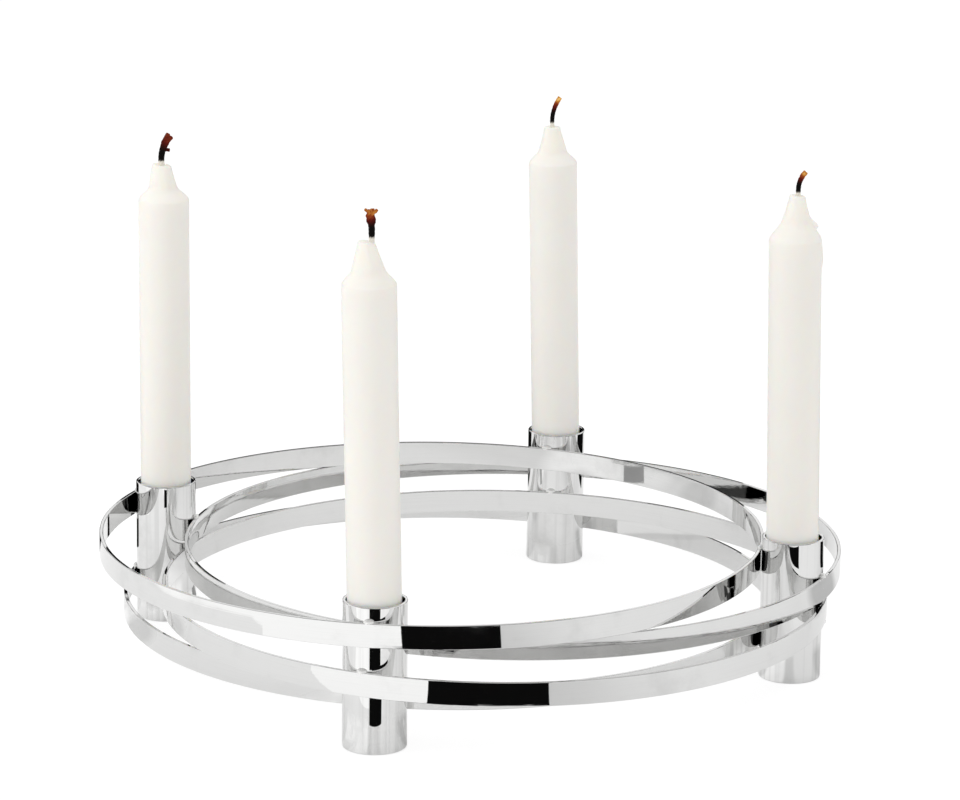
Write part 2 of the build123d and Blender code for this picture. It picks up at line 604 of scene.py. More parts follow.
def run_tree(name: str, tree: NodeGroup, data: bpy.types.ID, values: dict[str, Any]) -> bpy.types.Object:
    """Run a geometry tree on some data and keep the result as a plain mesh piece.

    Args:
        name: Name of the piece.
        tree: The geometry tree.
        data: Mesh or curve that the tree starts from.
        values: Values of the tree's inputs by name.

    Returns:
        The finished piece, at the origin.
    """
    source = add_object(f"{name}_source", data)
    modifier = source.modifiers.new(name, "NODES")
    modifier.node_group = tree
    for item in tree.interface.items_tree:
        if item.item_type == "SOCKET" and item.in_out == "INPUT" and item.name in values:
            modifier[item.identifier] = values[item.name]
    source.update_tag()
    graph = bpy.context.evaluated_depsgraph_get()
    shape = source.evaluated_get(graph)
    mesh = bpy.data.meshes.new_from_object(shape, preserve_all_data_layers=True, depsgraph=graph)
    mesh.name = name
    source.modifiers.clear()
    bpy.data.objects.remove(source)
    return add_object(name, mesh)


def finish_piece(piece: bpy.types.Object, body: str, nodes: Iterable[str]) -> None:
    """Hand a finished piece to the frame.

    Args:
        piece: The piece.
        body: Body that it rides on.
        nodes: CAD nodes that it stands for.
    """
    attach(piece, body)
    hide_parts(*nodes)
    LOG.info("%s rides on %s, %d faces", piece.name, body, len(piece.data.polygons))


def node_middle(node: str) -> Vector:
    """Return the middle of a CAD node's box."""
    low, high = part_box(node)
    return (low + high) / 2


@dataclass
class RolledStrip:
    """Flat strip rolled to a ring, as the hoops and the tubes are."""

    thickness: float
    edge_round: float
    steps: int

    SHARP_ANGLE = 0.1
    ROUND_STEPS = 5

    @classmethod
    @cache
    def tree(cls) -> NodeGroup:
        """Build the geometry tree that sweeps a rounded strip round a circle, once."""
        group = PieceTree(
            "rolled_strip",
            {
                SocketKind.FLOAT: ("Radius", "Height", "Thickness", "Edge Round"),
                SocketKind.INT: ("Steps",),
                SocketKind.VECTOR: ("Middle",),
            },
        )
        tree, given = group.tree, group.given
        make = partial(output_of, tree)
        circle = make(
            "GeometryNodeCurvePrimitiveCircle", settings={"mode": "RADIUS"},
            Resolution=given["Steps"], Radius=given["Radius"],
        )
        section = make(
            "GeometryNodeCurvePrimitiveQuadrilateral", settings={"mode": "RECTANGLE"},
            Width=given["Thickness"], Height=given["Height"],
        )
        softened = make(
            "GeometryNodeFilletCurve", settings={"mode": "POLY"},
            Curve=section, Radius=given["Edge Round"], Count=cls.ROUND_STEPS,
        )
        swept = make("GeometryNodeCurveToMesh", Curve=circle, Profile_Curve=softened)
        smooth = make(
            "GeometryNodeSetShadeSmooth", settings={"domain": "FACE"}, Geometry=swept, Shade_Smooth=True
        )
        angle = add_node(tree, "GeometryNodeInputMeshEdgeAngle").outputs["Unsigned Angle"]
        sharp = make(
            "FunctionNodeCompare", settings={"data_type": "FLOAT", "operation": "GREATER_THAN"},
            A=angle, B=cls.SHARP_ANGLE,
        )
        creased = make(
            "GeometryNodeSetShadeSmooth", settings={"domain": "EDGE"},
            Geometry=smooth, Selection=sharp, Shade_Smooth=False,
        )
        return group.close(make("GeometryNodeTransform", Geometry=creased, Translation=given["Middle"]))

    def build(self, name: str, node: str, finish: Material) -> None:
        """Build the ring that stands for a CAD node, from that node's box.

        Args:
            name: Name of the piece.
            node: CAD node that gives the ring's place and size.
            finish: Material of the ring.
        """
        low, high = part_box(node)
        values = {
            "Radius": (high.x - low.x - self.thickness) / 2,
            "Height": high.z - low.z,
            "Thickness": self.thickness,
            "Edge Round": self.edge_round,
            "Steps": self.steps,
            "Middle": node_middle(node),
            "Finish": finish,
        }
        piece = run_tree(name, self.tree(), bpy.data.meshes.new(f"{name}_start"), values)
        finish_piece(piece, FRAME_BODY, (node,))


@dataclass
class SteelFrame:
    """The welded frame: four hoops, four tubes, their weld beads and the socket floors."""

    hoop: RolledStrip = field(default_factory=lambda: RolledStrip(1.5 * MM, 0.25 * MM, 288))
    tube: RolledStrip = field(default_factory=lambda: RolledStrip(1.3 * MM, 0.4 * MM, 96))
    bead_half_size: tuple[float, float, float] = (2.3 * MM, 1.25 * MM, 1.3 * MM)
    bead_lumps: float = 0.44 * MM
    bead_lump_scale: float = 620.0
    bead_seed: int = 7

    def build(self, rolled: Material, drawn: Material, weld: Material) -> None:
        """Build every piece of the frame.

        Args:
            rolled: Finish of the hoops and the socket floors.
            drawn: Finish of the tubes.
            weld: Finish of the weld beads.
        """
        for level in Level:
            self.hoop.build(f"hoop_{level.value}", f"band_{level.value}", rolled)
        for place in Place:
            self.tube.build(f"candle_tube_{place.value}", f"tube_{place.value}", drawn)
            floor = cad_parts[f"floor_{place.value}"]
            floor.data.materials.clear()
            floor.data.materials.append(rolled)
        self.build_beads(weld)

    def bead_tree(self) -> NodeGroup:
        """Build the geometry tree that sets a lumpy bead on each point."""
        group = PieceTree(
            "weld_beads",
            {SocketKind.VECTOR: ("Half Size",), SocketKind.FLOAT: ("Lumps",), SocketKind.INT: ("Seed",)},
        )
        tree, given = group.tree, group.given
        make = partial(output_of, tree)
        ball = make("GeometryNodeMeshIcoSphere", Radius=1.0, Subdivisions=4)
        bead = make("GeometryNodeTransform", Geometry=ball, Scale=given["Half Size"])
        spin = make("ShaderNodeCombineXYZ", Z=stored(tree, "turn"))
        beads = make(
            "GeometryNodeInstanceOnPoints", Points=given["Geometry"], Instance=bead, Rotation=spin
        )
        realised = make("GeometryNodeRealizeInstances", Geometry=beads)
        lumps = make(
            "ShaderNodeTexNoise", settings={"noise_dimensions": "4D"},
            W=given["Seed"], Scale=self.bead_lump_scale, Detail=1.5,
        )
        centred = math_node(tree, "SUBTRACT", lumps, NOISE_MIDDLE)
        push = math_node(tree, "MULTIPLY", centred, given["Lumps"])
        offset = vector_math(tree, "SCALE", make("GeometryNodeInputNormal"), Scale=push)
        moved = make("GeometryNodeSetPosition", Geometry=realised, Offset=offset)
        return group.close(make("GeometryNodeSetShadeSmooth", Geometry=moved, Shade_Smooth=True))

    def build_beads(self, finish: Material) -> None:
        """Build all the weld beads as one piece.

        Args:
            finish: Material of the beads.
        """
        nodes: list[str] = []
        points: list[Vector] = []
        turns: list[float] = []
        for place in Place:
            for level in Level:
                node, band = f"weld_{place.value}_{level.value}", f"band_{level.value}"
                low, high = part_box(node)
                middle = node_middle(node)
                middle.z = low.z if high.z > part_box(band)[1].z else high.z
                outward = node_middle(f"tube_{place.value}") - node_middle(band)
                nodes.append(node)
                points.append(middle)
                turns.append(math.atan2(outward.y, outward.x) + math.pi / 2)
        mesh = new_mesh("weld_beads_start", points, [])
        store_values(mesh, "turn", turns)
        values = {
            "Half Size": self.bead_half_size,
            "Lumps": self.bead_lumps,
            "Seed": self.bead_seed,
            "Finish": finish,
        }
        piece = run_tree("weld_beads", self.bead_tree(), mesh, values)
        finish_piece(piece, FRAME_BODY, nodes)


@dataclass
class Drip:
    """A run of wax that has set on a candle's side.

    Heights are measured from the shoulder and widths along the surface, in metres.
    """

    angle: float
    top: float
    bottom: float
    width: float
    rise: float

    HEAD_FADE = 3.0 * MM
    FOOT_FADE = 1.2 * MM
    BEAD_LEVEL = 1.6 * MM
    BEAD_SPREAD = 2.2 * MM
    RUN_SHARE = 0.45

    def swell(self, angle: float, above: float, radius: float) -> float:
        """Return how far the drip stands off the candle.

        Args:
            angle: Direction round the candle.
            above: Height above the shoulder.
            radius: Radius of the candle.

        Returns:
            Distance along the radius, in metres.
        """
        gap = math.atan2(math.sin(angle - self.angle), math.cos(angle - self.angle)) * radius
        across = math.exp(-((gap / self.width) ** 2))
        foot = share_of(above, self.bottom - self.FOOT_FADE / 2, self.FOOT_FADE)
        head = share_of(self.top, above - self.HEAD_FADE / 2, self.HEAD_FADE)
        bead = math.exp(-(((above - self.bottom - self.BEAD_LEVEL) / self.BEAD_SPREAD) ** 2))
        return self.rise * across * foot * head * (self.RUN_SHARE + (1 - self.RUN_SHARE) * bead)


@dataclass
class Candle:
    """One candle with its wick, leaning in its socket as the CAD solid does."""

    place: Place
    length: float
    tip: float
    lean: float
    wick_reach: float
    wick_bend: float
    wick_flare: float
    wick_shift: float
    wick_head: float
    ember: float
    tip_radius: float
    tip_shift: float
    tip_slump: float
    shoulder_radius: float
    shoulder_rise: float
    seed: float
    stray: float = 0.0
    drips: tuple[Drip, ...] = ()

    RADIUS = 11.0 * MM
    SHOULDER_DROP = 0.6 * MM
    SHOULDER_SLOPE = 0.1
    SHARP_ANGLE = math.radians(50.0)
    TIP_ROUND = 0.9 * MM
    POOL_DEPTH = 0.5 * MM
    SLUMP_POWER = 4
    BASE_BEVEL = 0.8 * MM
    FLOOR_LEVEL = 25.0 * MM
    SOCKET_DEPTH = 36.5 * MM
    SOCKET_PLAY = 0.8 * MM
    LEAN_HEADING = math.radians(16.0)
    SIDES = 96
    BODY_STEPS, SHOULDER_STEPS, TAPER_STEPS, TOP_STEPS = 40, 12, 14, 4

    # Waves of the softened wax, each with its own frequency and height, and a slow sway of the whole side.
    MELT_BELOW = 2.0 * MM
    MELT_FADE = 8.0 * MM
    WAVE_PITCH = 9.0 * MM
    COARSE_WAVE = (1.1, 0.22 * MM)
    FINE_WAVE = (2.7, 0.14 * MM)
    FINE_OFFSET = Vector((5.0, 1.0, 0.0))
    SWAY_PITCH = 60.0 * MM
    SWAY = 0.05 * MM
    WARM_BELOW = 3.0 * MM
    WARM_FADE = 14.0 * MM

    WICK_RADIUS = 1.0 * MM
    WICK_STUB = 2.0 * MM
    WICK_STEP = 0.5 * MM
    WICK_BEND_STEPS = 12
    STRANDS = 6
    STRAND_RADIUS = 0.44 * MM
    STRAND_SIDES = 7
    TWIST = 620.0
    FLARE_POWER = 2.2
    FLARE_SHARES = (0.1, 1.0)
    HEAD_RANGE = (0.2, 0.8)
    BURNT_RANGE = (0.1, 0.16)
    EMBER_RANGE = (0.45, 1.0)
    FUZZ = 0.7 * MM
    FUZZ_SCALE = 1500.0
    SEED_STEPS = 10
    STRAY_FORK = -9
    STRAY_FROM = 0.45
    STRAY_ROUTE = (Vector((0.6, -0.1, 0.25)), Vector((1.0, -0.2, 0.2)))

    def axes(self) -> Matrix:
        """Return the candle's frame: x to the wick's side, z up the axis, origin at its foot."""
        across = Vector((math.cos(self.LEAN_HEADING), math.sin(self.LEAN_HEADING), 0.0))
        lean = self.lean * math.atan2(2 * self.SOCKET_PLAY, self.SOCKET_DEPTH)
        up = across * math.sin(lean) + Vector((0.0, 0.0, math.cos(lean)))
        side = across * math.cos(lean) - Vector((0.0, 0.0, math.sin(lean)))
        rise = (self.RADIUS - self.BASE_BEVEL) * math.sin(abs(lean))
        pivot = node_middle(f"floor_{self.place.value}")
        pivot.z = self.FLOOR_LEVEL + self.SOCKET_DEPTH / 2
        foot = pivot - up * ((self.SOCKET_DEPTH / 2 - rise) / math.cos(lean))
        return Matrix.Translation(foot) @ Matrix((side, up.cross(side), up)).transposed().to_4x4()

    def profile(self) -> list[tuple[float, float]]:
        """Return radius and height pairs from the foot to the melted top."""
        shoulder = self.length - self.tip - self.SHOULDER_DROP
        taper_foot, taper_head = shoulder + self.shoulder_rise, self.length - self.TIP_ROUND
        inset = self.RADIUS - self.shoulder_radius
        taper = (self.shoulder_radius - self.tip_radius) / (taper_head - taper_foot)
        foot_slope = taper * self.shoulder_rise / inset
        points = [(self.RADIUS - self.BASE_BEVEL, 0.0), (self.RADIUS, self.BASE_BEVEL)]
        for step in range(1, self.BODY_STEPS + 1):
            height = self.BASE_BEVEL + (shoulder - self.BASE_BEVEL) * step / self.BODY_STEPS
            points.append((self.RADIUS, height))
        for step in range(1, self.SHOULDER_STEPS + 1):
            share = step / self.SHOULDER_STEPS
            fall = self.SHOULDER_SLOPE * share * (1 - share) ** 2
            fall += share**2 * (3 - 2 * share) - foot_slope * share**2 * (1 - share)
            points.append((self.RADIUS - inset * fall, shoulder + self.shoulder_rise * share))
        for step in range(1, self.TAPER_STEPS + 1):
            height = (taper_head - taper_foot) * step / self.TAPER_STEPS
            points.append((self.shoulder_radius - taper * height, taper_foot + height))
        for step in range(1, self.TOP_STEPS + 1):
            turn = math.pi / 2 * step / self.TOP_STEPS
            radius = self.tip_radius - self.TIP_ROUND * (1 - math.cos(turn))
            points.append((radius, taper_head + self.TIP_ROUND * math.sin(turn)))
        return points

    def swell(self, angle: float, height: float) -> float:
        """Return how far the wax stands off the plain profile.

        Args:
            angle: Direction round the candle, from the wick's side.
            height: Height above the foot.

        Returns:
            Distance along the radius, in metres.
        """
        above = height - (self.length - self.tip)
        melt = share_of(above, -self.MELT_BELOW, self.MELT_FADE)
        across, along = math.cos(angle), math.sin(angle)
        place = Vector((across, along, height / self.WAVE_PITCH + self.seed))
        coarse, coarse_height = self.COARSE_WAVE
        fine, fine_height = self.FINE_WAVE
        waves = noise.noise(place * coarse) * coarse_height * melt
        waves += noise.noise(place * fine + self.FINE_OFFSET) * fine_height * melt
        waves += noise.noise(Vector((across, along, height / self.SWAY_PITCH - self.seed))) * self.SWAY
        return waves + sum(drip.swell(angle, above, self.RADIUS) for drip in self.drips)

    def slumped(self, point: Vector) -> Vector:
        """Return a point of the plain candle after the soft top has slumped to one side."""
        share = share_of(point.z, self.length - self.tip, self.tip)
        drop = self.tip_slump * point.x / (2 * self.tip_radius) * share**self.SLUMP_POWER
        return point + Vector((self.tip_shift * share, 0.0, -drop))

    def build_wax(self, finish: Material) -> None:
        """Build the candle's wax.

        Args:
            finish: Material of the wax.
        """
        axes, rings = self.axes(), self.profile()
        points: list[Vector] = []
        melts: list[float] = []
        for radius, height in rings:
            for side in range(self.SIDES):
                angle = 2 * math.pi * side / self.SIDES
                reach = radius + (self.swell(angle, height) if height > self.BASE_BEVEL else 0.0)
                plain = Vector((reach * math.cos(angle), reach * math.sin(angle), height))
                points.append(axes @ self.slumped(plain))
                melts.append(share_of(height, self.length - self.tip - self.WARM_BELOW, self.WARM_FADE))
        faces = ring_faces(len(rings), self.SIDES)
        last, foot, pool = len(points) - self.SIDES, len(points), len(points) + 1
        points.append(axes @ Vector((0.0, 0.0, 0.0)))
        points.append(axes @ self.slumped(Vector((0.0, 0.0, self.length - self.POOL_DEPTH))))
        melts.extend((0.0, 1.0))
        for side in range(self.SIDES):
            following = (side + 1) % self.SIDES
            faces.append((following, side, foot))
            faces.append((last + side, last + following, pool))
        name = f"wax_{self.place.value}"
        mesh = new_mesh(name, points, faces, finish)
        store_values(mesh, "melt", melts)
        mesh.shade_smooth()
        mesh.set_sharp_from_angle(angle=self.SHARP_ANGLE)
        finish_piece(add_object(name, mesh), self.place.body, (f"candle_{self.place.value}",))

    def wick_route(self) -> bpy.types.Curve:
        """Return the wick's middle line, from the candle's foot to its free end, and any loose strand's."""
        axes = self.axes()
        turn_radius = self.wick_reach / self.wick_bend
        start = self.length + self.WICK_STUB
        points = [Vector((0.0, 0.0, 0.0)), Vector((0.0, 0.0, self.length - self.tip))]
        points.append(Vector((self.wick_shift, 0.0, self.length)))
        for step in range(self.WICK_BEND_STEPS + 1):
            angle = self.wick_bend * step / self.WICK_BEND_STEPS
            sideways = self.wick_shift + turn_radius * (1 - math.cos(angle))
            points.append(Vector((sideways, 0.0, start + turn_radius * math.sin(angle))))
        runs = [points]
        if self.stray:
            fork = points[self.STRAY_FORK]
            runs.append([fork, *(fork + way * self.stray for way in self.STRAY_ROUTE)])
        curve = bpy.data.curves.new(f"wick_route_{self.place.value}", "CURVE")
        curve.dimensions = "3D"
        for run in runs:
            spline = curve.splines.new("POLY")
            spline.points.add(len(run) - 1)
            for target, point in zip(spline.points, run):
                target.co = (*(axes @ point), 1.0)
        return curve

    @classmethod
    @cache
    def wick_tree(cls) -> NodeGroup:
        """Build the geometry tree that lays twisted strands along a wick's middle line, once.

        The first line of the route is the bundle, and a second one is a single loose strand.
        """
        group = PieceTree(
            "twisted_wick",
            {
                SocketKind.FLOAT: (
                    "Step", "Strand Radius", "Lay Radius", "Twist", "Free From", "Free Length",
                    "Flare", "Head", "Ember",
                ),
                SocketKind.INT: ("Strands", "Seed"),
            },
        )
        tree, given = group.tree, group.given
        make, calc = partial(output_of, tree), partial(math_node, tree)
        even = make(
            "GeometryNodeResampleCurve", settings={"mode": "LENGTH"},
            Curve=given["Geometry"], Length=given["Step"],
        )
        along = add_node(tree, "GeometryNodeSplineParameter").outputs["Length"]
        loose = calc("MINIMUM", make("GeometryNodeInputIndex"), 1.0)
        marked = store(tree, even, "stray", loose, "CURVE")
        stray = stored(tree, "stray")
        bundled = calc("SUBTRACT", 1.0, stray)

        # "free" runs from 0 at the top of the wax to 1 at the wick's end.
        begin = calc("MULTIPLY", given["Free From"], bundled)
        share_along = calc("DIVIDE", calc("SUBTRACT", along, begin), given["Free Length"])
        free = calc("ADD", share_along, calc("MULTIPLY", stray, cls.STRAY_FROM))
        others = calc("MULTIPLY", calc("SUBTRACT", given["Strands"], 1.0), bundled)
        copies = add_node(
            tree, "GeometryNodeDuplicateElements", settings={"domain": "SPLINE"},
            Geometry=store(tree, marked, "free", free), Amount=calc("ADD", others, 1.0),
        ).outputs

        # Each strand is laid round the middle line, and the strands spread towards the end.
        share = calc("DIVIDE", copies["Duplicate Index"], given["Strands"])
        angle = calc("ADD", calc("MULTIPLY", share, 2 * math.pi), calc("MULTIPLY", along, given["Twist"]))
        outward = make(
            "ShaderNodeVectorRotate", settings={"rotation_type": "AXIS_ANGLE"}, Angle=angle,
            Vector=make("GeometryNodeInputNormal"), Axis=make("GeometryNodeInputTangent"),
        )
        loosened = calc("POWER", calc("MAXIMUM", free, 0.0), cls.FLARE_POWER)
        ragged = add_node(
            tree, "FunctionNodeRandomValue", settings={"data_type": "FLOAT"}, Min=cls.FLARE_SHARES[0],
            Max=cls.FLARE_SHARES[1], ID=copies["Duplicate Index"], Seed=given["Seed"],
        ).outputs["Value"]
        spread = calc("MULTIPLY", calc("MULTIPLY", loosened, given["Flare"]), ragged)
        reach = calc("MULTIPLY", calc("ADD", given["Lay Radius"], spread), bundled)
        laid = make(
            "GeometryNodeSetPosition", Geometry=copies["Geometry"],
            Offset=vector_math(tree, "SCALE", outward, Scale=reach),
        )
        section = make(
            "GeometryNodeCurvePrimitiveCircle", settings={"mode": "RADIUS"},
            Resolution=cls.STRAND_SIDES, Radius=given["Strand Radius"],
        )
        head = (1.0, calc("ADD", given["Head"], 1.0))
        strands = make(
            "GeometryNodeCurveToMesh", Curve=laid, Profile_Curve=section,
            Scale=map_range(tree, free, cls.HEAD_RANGE, head, smooth=True), Fill_Caps=True,
        )

        # The bare part is fuzzy, burnt black and glows at its end.
        fuzz = add_node(
            tree, "ShaderNodeTexNoise", settings={"noise_dimensions": "4D"},
            W=given["Seed"], Scale=cls.FUZZ_SCALE, Detail=2.0,
        ).outputs["Color"]
        bare = stored(tree, "free")
        depth = calc("MULTIPLY", calc("MAXIMUM", bare, 0.0, clamp=True), cls.FUZZ)
        centred = vector_math(tree, "SUBTRACT", fuzz, (NOISE_MIDDLE,) * 3)
        rough = make(
            "GeometryNodeSetPosition", Geometry=strands,
            Offset=vector_math(tree, "SCALE", centred, Scale=depth),
        )
        burnt = store(tree, rough, "burnt", map_range(tree, bare, cls.BURNT_RANGE, smooth=True))
        heat = calc("MULTIPLY", map_range(tree, bare, cls.EMBER_RANGE, smooth=True), given["Ember"])
        glowing = store(tree, burnt, "ember", heat)
        return group.close(make("GeometryNodeSetShadeSmooth", Geometry=glowing, Shade_Smooth=True))

    def build_wick(self, finish: Material) -> None:
        """Build the candle's wick.

        Args:
            finish: Material of the wick.
        """
        values = {
            "Step": self.WICK_STEP,
            "Strands": self.STRANDS,
            "Strand Radius": self.STRAND_RADIUS,
            "Lay Radius": self.WICK_RADIUS - self.STRAND_RADIUS,
            "Twist": self.TWIST,
            "Free From": self.length,
            "Free Length": self.WICK_STUB + self.wick_reach,
            "Flare": self.wick_flare,
            "Head": self.wick_head,
            "Ember": self.ember,
            "Seed": int(self.seed * self.SEED_STEPS),
            "Finish": finish,
        }
        piece = run_tree(f"wick_strands_{self.place.value}", self.wick_tree(), self.wick_route(), values)
        finish_piece(piece, self.place.body, (f"wick_{self.place.value}",))


@dataclass
class Candles:
    """The four candles, each burnt down and leaning in its own way."""

    sticks: tuple[Candle, ...] = (
        Candle(
            Place.FRONT, length=182.0 * MM, tip=17.0 * MM, lean=-0.5,
            wick_reach=10.5 * MM, wick_bend=math.radians(-3.0), wick_flare=2.1 * MM, wick_shift=1.4 * MM,
            wick_head=0.45, ember=0.78, tip_radius=3.5 * MM, tip_shift=-0.8 * MM, tip_slump=0.7 * MM,
            shoulder_radius=6.8 * MM, shoulder_rise=6.0 * MM, seed=1.3,
        ),
        Candle(
            Place.RIGHT, length=183.0 * MM, tip=18.5 * MM, lean=-0.5,
            wick_reach=8.5 * MM, wick_bend=math.radians(42.0), wick_flare=0.2 * MM, wick_shift=1.0 * MM,
            wick_head=0.1, ember=0.92, tip_radius=3.3 * MM, tip_shift=0.85 * MM, tip_slump=1.0 * MM,
            shoulder_radius=5.9 * MM, shoulder_rise=8.3 * MM, seed=4.1,
            drips=(
                Drip(math.radians(-6.0), 8.5 * MM, 4.6 * MM, 1.3 * MM, 2.4 * MM),
                Drip(math.radians(4.0), -3.0 * MM, -12.5 * MM, 1.5 * MM, 1.1 * MM),
            ),
        ),
        Candle(
            Place.BACK, length=179.0 * MM, tip=16.5 * MM, lean=-0.6,
            wick_reach=12.0 * MM, wick_bend=math.radians(36.0), wick_flare=0.1 * MM, wick_shift=-0.15 * MM,
            wick_head=0.1, ember=1.0, tip_radius=3.65 * MM, tip_shift=-0.1 * MM, tip_slump=0.0,
            shoulder_radius=6.4 * MM, shoulder_rise=6.0 * MM, seed=6.7,
        ),
        Candle(
            Place.LEFT, length=178.0 * MM, tip=15.0 * MM, lean=0.0,
            wick_reach=11.5 * MM, wick_bend=math.radians(38.0), wick_flare=1.0 * MM, wick_shift=-0.95 * MM,
            wick_head=0.9, ember=0.5, tip_radius=4.3 * MM, tip_shift=-0.9 * MM, tip_slump=0.9 * MM,
            shoulder_radius=6.1 * MM, shoulder_rise=6.0 * MM, seed=9.2, stray=3.2 * MM,
        ),
    )

    def build(self, wax: Material, wick: Material) -> None:
        """Build the wax and the wick of every candle."""
        for stick in self.sticks:
            stick.build_wax(wax)
            stick.build_wick(wick)


def emission(tree: NodeGroup, strength: Any) -> Socket:
    """Return a white light of a material."""
    return output_of(tree, "ShaderNodeEmission", Color=grey(1.0), Strength=strength)


def diffuse(tree: NodeGroup, tone: float) -> Socket:
    """Return a matt grey of a material."""
    return output_of(tree, "ShaderNodeBsdfDiffuse", Color=grey(tone))


def show_to_mirrors(name: str, mesh: bpy.types.Mesh) -> None:
    """Stage a thing of the studio that is hidden from everything but reflections."""
    thing = add_object(name, mesh)
    thing.visible_camera = False
    thing.visible_diffuse = False
    thing.visible_transmission = False
    thing.visible_shadow = False
    thing.visible_volume_scatter = False


class CardTone(Enum):
    """Tones of the studio's cards, as diffuse reflectance."""

    BLACK = 0.004
    GREY = 0.4
    WHITE = 0.97


@dataclass
class Card:
    """A card that only the polished steel sees: on the table, hovering, or standing behind the object.

    Corners are in millimetres. A corner without a height lies at the card's level.
    """

    name: str
    outline: tuple[tuple[float, ...], ...]
    tone: CardTone = CardTone.BLACK
    level: float = 0.3
    extra_glow: float = 0.0

    def build(self, glow: float) -> None:
        """Set up the card.

        Args:
            glow: White that mirrors add to pale surfaces of the studio.
        """
        material, tree = bare_material(self.name)
        light = emission(tree, (glow + self.extra_glow) * self.tone.value)
        show(tree, output_of(tree, "ShaderNodeAddShader", diffuse(tree, self.tone.value), light))
        corners = [tuple(c * MM for c in (*corner, self.level)[:3]) for corner in self.outline]
        show_to_mirrors(self.name, new_mesh(self.name, corners, [tuple(range(len(corners)))], material))


@dataclass(frozen=True)
class Span:
    """A range of directions, in degrees from +X, with a level inside it and blurred ends."""

    start: float
    end: float
    level: float
    blur: float = 3.0

    @classmethod
    def all_round(cls, level: float) -> "Span":
        """Return a span that holds one level in every direction."""
        return cls(-200.0, 200.0, level)

    def at(self, direction: float) -> float:
        """Return the level at a direction."""
        depth = min(direction - self.start, self.end - direction)
        return self.level * share_of(depth, -self.blur, 2 * self.blur)


@dataclass
class PaintedLightAndShade:
    """Painted light and painted shade on the table, laid as a clear ring that only the polished steel
    mirrors: its glows paint lit patches and its shades paint shadows.

    The middle, the radii and the height are in millimetres, and each radius has the share of the levels
    that holds there.
    """

    name: str
    middle: tuple[float, float]
    radii: tuple[tuple[float, float], ...]
    glows: tuple[Span, ...] = ()
    shades: tuple[Span, ...] = ()
    level: float = 0.22

    STEP = 3

    def build(self) -> None:
        """Lay the ring."""
        directions = range(-180, 180, self.STEP)
        points: list[tuple[float, float, float]] = []
        glows: list[float] = []
        shades: list[float] = []
        for radius, share in self.radii:
            for direction in directions:
                turn = math.radians(direction)
                x = self.middle[0] + radius * math.cos(turn)
                y = self.middle[1] + radius * math.sin(turn)
                points.append((x * MM, y * MM, self.level * MM))
                glows.append(share * sum(span.at(direction) for span in self.glows))
                shades.append(share * sum(span.at(direction) for span in self.shades))
        # The rings widen on the flat, so the faces are turned over to look up.
        faces = [(face[0], *face[:0:-1]) for face in ring_faces(len(self.radii), len(directions))]
        mesh = new_mesh(self.name, points, faces, self.material())
        store_values(mesh, "glow", glows)
        store_values(mesh, "shade", shades)
        show_to_mirrors(self.name, mesh)

    def material(self) -> Material:
        """Build the clear material that paints light with its glow and shade with its tint on what lies
        under it.
        """
        material, tree = bare_material(self.name)
        tint = mix_colour(tree, attribute(tree, "shade"), grey(1.0), grey(0.0))
        clear = output_of(tree, "ShaderNodeBsdfTransparent", Color=tint)
        show(tree, output_of(tree, "ShaderNodeAddShader", clear, emission(tree, attribute(tree, "glow"))))
        return material


# Middles of the tubes' feet on the table and the radius just outside a tube, in millimetres.
FRONT_FOOT, RIGHT_FOOT, BACK_FOOT, LEFT_FOOT = (0, -141), (141, 0), (0, 141), (-141, 0)
BESIDE_TUBE = 13.3


